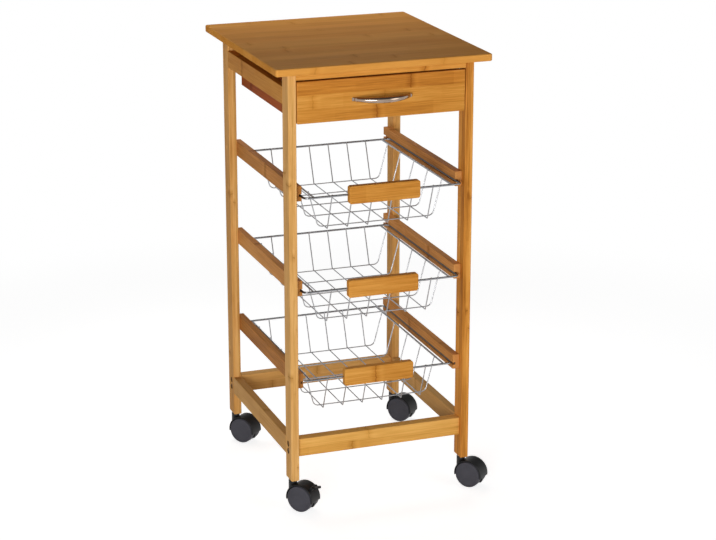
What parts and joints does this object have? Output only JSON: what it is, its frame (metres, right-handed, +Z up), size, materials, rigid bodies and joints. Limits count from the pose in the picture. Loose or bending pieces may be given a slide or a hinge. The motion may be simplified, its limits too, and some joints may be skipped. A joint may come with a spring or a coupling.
{
  "type": "kitchen cart",
  "caption": "Narrow bamboo kitchen cart with a drawer under its top, wire baskets that slide in grooved rails, and swivelling twin-wheel casters.",
  "frame": {"origin": "on the floor, on the cart's middle plane and midway between the pull's bow and the tabletop's rear edge; this is the footprint's centre within 5 mm, as the turned casters reach a little past the top on one side", "axes": "+Z up, -Y towards the user in front of the drawer, +X to that user's right"},
  "size_m": [0.3782, 0.4111, 0.76],
  "materials": {
    "bamboo": "laminated bamboo, clear satin lacquer",
    "bamboo_brown": "laminated bamboo, clear satin lacquer, darker strips",
    "beech": "plain dowel rod",
    "plywood": "thin sanded panel",
    "wire_chrome": "bright plated wire",
    "satin_chrome": "satin plated casting",
    "zinc_steel": "zinc plated",
    "black_plastic": "moulded nylon",
    "wheel_plastic": "moulded nylon wheel"
  },
  "bodies": {
    "cart_frame": {"tabletop": "bamboo", "leg_front_left": "bamboo", "leg_front_right": "bamboo", "leg_rear_left": "bamboo", "leg_rear_right": "bamboo", "side_apron_left": "bamboo", "side_apron_right": "bamboo", "rear_apron": "bamboo", "top_front_rail": "bamboo", "lower_side_rail_left": "bamboo", "lower_side_rail_right": "bamboo", "lower_front_rail": "bamboo", "lower_rear_rail": "bamboo", "basket_rail_upper_left": "bamboo_brown", "basket_rail_upper_right": "bamboo_brown", "basket_rail_middle_left": "bamboo_brown", "basket_rail_middle_right": "bamboo_brown", "basket_rail_lower_left": "bamboo_brown", "basket_rail_lower_right": "bamboo_brown", "drawer_runner_left": "bamboo_brown", "drawer_runner_right": "bamboo_brown", "frame_bolts": "zinc_steel", "barrel_nuts": "zinc_steel", "frame_dowels": "beech", "rail_screws": "zinc_steel", "top_screws": "zinc_steel", "caster_stems": "zinc_steel"},
    "drawer": {"drawer_front": "bamboo", "drawer_side_left": "bamboo_brown", "drawer_side_right": "bamboo_brown", "drawer_back": "bamboo_brown", "drawer_bottom": "plywood", "drawer_pull": "satin_chrome", "pull_screws": "zinc_steel"},
    "basket_upper": {"basket_rim_upper": "wire_chrome", "basket_wires_upper": "wire_chrome", "basket_handle_upper": "bamboo", "handle_screws_upper": "zinc_steel"},
    "basket_middle": {"basket_rim_middle": "wire_chrome", "basket_wires_middle": "wire_chrome", "basket_handle_middle": "bamboo", "handle_screws_middle": "zinc_steel"},
    "basket_lower": {"basket_rim_lower": "wire_chrome", "basket_wires_lower": "wire_chrome", "basket_handle_lower": "bamboo", "handle_screws_lower": "zinc_steel"},
    "caster_front_left": {"caster_hood_front_left": "black_plastic", "caster_axle_front_left": "zinc_steel"},
    "wheels_front_left": {"caster_wheels_front_left": "wheel_plastic"},
    "caster_front_right": {"caster_hood_front_right": "black_plastic", "caster_axle_front_right": "zinc_steel"},
    "wheels_front_right": {"caster_wheels_front_right": "wheel_plastic"},
    "caster_rear_left": {"caster_hood_rear_left": "black_plastic", "caster_axle_rear_left": "zinc_steel"},
    "wheels_rear_left": {"caster_wheels_rear_left": "wheel_plastic"},
    "caster_rear_right": {"caster_hood_rear_right": "black_plastic", "caster_axle_rear_right": "zinc_steel"},
    "wheels_rear_right": {"caster_wheels_rear_right": "wheel_plastic"},
    "brake_lever": {"brake_lever": "black_plastic"}
  },
  "joints": [
    {"name": "drawer_slide", "type": "slide", "parent": "cart_frame", "child": "drawer", "axis": [0, -1, 0], "range_m": [0, 0.2]},
    {"name": "basket_upper_slide", "type": "slide", "parent": "cart_frame", "child": "basket_upper", "axis": [0, -1, 0], "range_m": [-0.025, 0.2]},
    {"name": "basket_middle_slide", "type": "slide", "parent": "cart_frame", "child": "basket_middle", "axis": [0, -1, 0], "range_m": [-0.02, 0.2]},
    {"name": "basket_lower_slide", "type": "slide", "parent": "cart_frame", "child": "basket_lower", "axis": [0, -1, 0], "range_m": [0, 0.225]},
    {"name": "swivel_front_left", "type": "hinge", "parent": "cart_frame", "child": "caster_front_left", "pos_m": [-0.153, -0.1625, 0.046], "axis": [0, 0, 1], "continuous": true},
    {"name": "spin_front_left", "type": "hinge", "parent": "caster_front_left", "child": "wheels_front_left", "pos_m": [-0.14014, -0.17782, 0.023], "axis": [0.766, 0.6428, 0], "continuous": true},
    {"name": "swivel_front_right", "type": "hinge", "parent": "cart_frame", "child": "caster_front_right", "pos_m": [0.153, -0.1625, 0.046], "axis": [0, 0, 1], "continuous": true},
    {"name": "spin_front_right", "type": "hinge", "parent": "caster_front_right", "child": "wheels_front_right", "pos_m": [0.16586, -0.17782, 0.023], "axis": [0.766, 0.6428, 0], "continuous": true},
    {"name": "swivel_rear_left", "type": "hinge", "parent": "cart_frame", "child": "caster_rear_left", "pos_m": [-0.153, 0.1675, 0.046], "axis": [0, 0, 1], "continuous": true},
    {"name": "spin_rear_left", "type": "hinge", "parent": "caster_rear_left", "child": "wheels_rear_left", "pos_m": [-0.14014, 0.15218, 0.023], "axis": [0.766, 0.6428, 0], "continuous": true},
    {"name": "swivel_rear_right", "type": "hinge", "parent": "cart_frame", "child": "caster_rear_right", "pos_m": [0.153, 0.1675, 0.046], "axis": [0, 0, 1], "continuous": true},
    {"name": "spin_rear_right", "type": "hinge", "parent": "caster_rear_right", "child": "wheels_rear_right", "pos_m": [0.16586, 0.15218, 0.023], "axis": [0.766, 0.6428, 0], "continuous": true},
    {"name": "brake_tilt", "type": "hinge", "parent": "caster_front_left", "child": "brake_lever", "pos_m": [-0.12696, -0.19353, 0.04351], "axis": [0.766, 0.6428, 0], "range_deg": [0, 18]}
  ]
}
